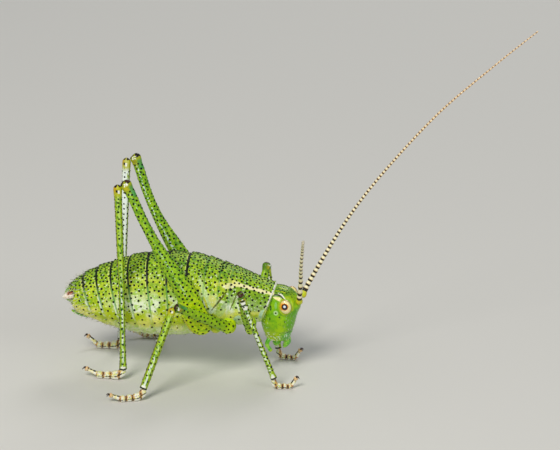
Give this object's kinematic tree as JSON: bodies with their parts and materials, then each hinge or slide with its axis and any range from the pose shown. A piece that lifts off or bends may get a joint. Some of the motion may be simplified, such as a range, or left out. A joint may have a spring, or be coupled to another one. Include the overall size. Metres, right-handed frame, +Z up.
{
  "type": "long-horned grasshopper",
  "caption": "Life-size still model of a wingless-looking bush-cricket nymph, standing on six legs with its knees high and its long antennae raised.",
  "frame": {"origin": "middle of the footprint of the whole model, antennae included, at the level of the soles", "axes": "+X the way the animal faces, +Y its left side, +Z up"},
  "size_m": [0.026, 0.0222, 0.0193],
  "materials": {
    "cuticle": "waxy green skin with black specks, pale belly and black seam lines",
    "foot": "cream with brown marks",
    "claw": "dark brown horn",
    "eye": "glossy cream with an orange ring and a black centre",
    "antenna": "banded cream and dark brown",
    "cercus": "rosy cream"
  },
  "bodies": {
    "root": {"abdomen_front": "cuticle", "abdomen_middle": "cuticle", "abdomen_rear": "cuticle", "abdomen_tip": "cuticle", "antenna_left_1": "antenna", "antenna_left_2": "antenna", "antenna_left_3": "antenna", "antenna_left_4": "antenna", "antenna_right_1": "antenna", "antenna_right_2": "antenna", "antenna_right_3": "antenna", "antenna_right_4": "antenna", "cercus_left": "cercus", "cercus_right": "cercus", "eye_left": "eye", "eye_right": "eye", "front_left_claws": "claw", "front_left_coxa": "cuticle", "front_left_femur": "cuticle", "front_left_tarsus": "foot", "front_left_tibia": "cuticle", "front_right_claws": "claw", "front_right_coxa": "cuticle", "front_right_femur": "cuticle", "front_right_tarsus": "foot", "front_right_tibia": "cuticle", "head": "cuticle", "hind_left_claws": "claw", "hind_left_coxa": "cuticle", "hind_left_femur": "cuticle", "hind_left_tarsus": "foot", "hind_left_tibia": "cuticle", "hind_right_claws": "claw", "hind_right_coxa": "cuticle", "hind_right_femur": "cuticle", "hind_right_tarsus": "foot", "hind_right_tibia": "cuticle", "jaws": "cuticle", "labrum": "cuticle", "mesothorax": "cuticle", "metathorax": "cuticle", "mid_left_claws": "claw", "mid_left_coxa": "cuticle", "mid_left_femur": "cuticle", "mid_left_tarsus": "foot", "mid_left_tibia": "cuticle", "mid_right_claws": "claw", "mid_right_coxa": "cuticle", "mid_right_femur": "cuticle", "mid_right_tarsus": "foot", "mid_right_tibia": "cuticle", "palp_left": "cuticle", "palp_right": "cuticle", "pronotum": "cuticle", "subgenital_plate": "cuticle"}
  },
  "joints": []
}
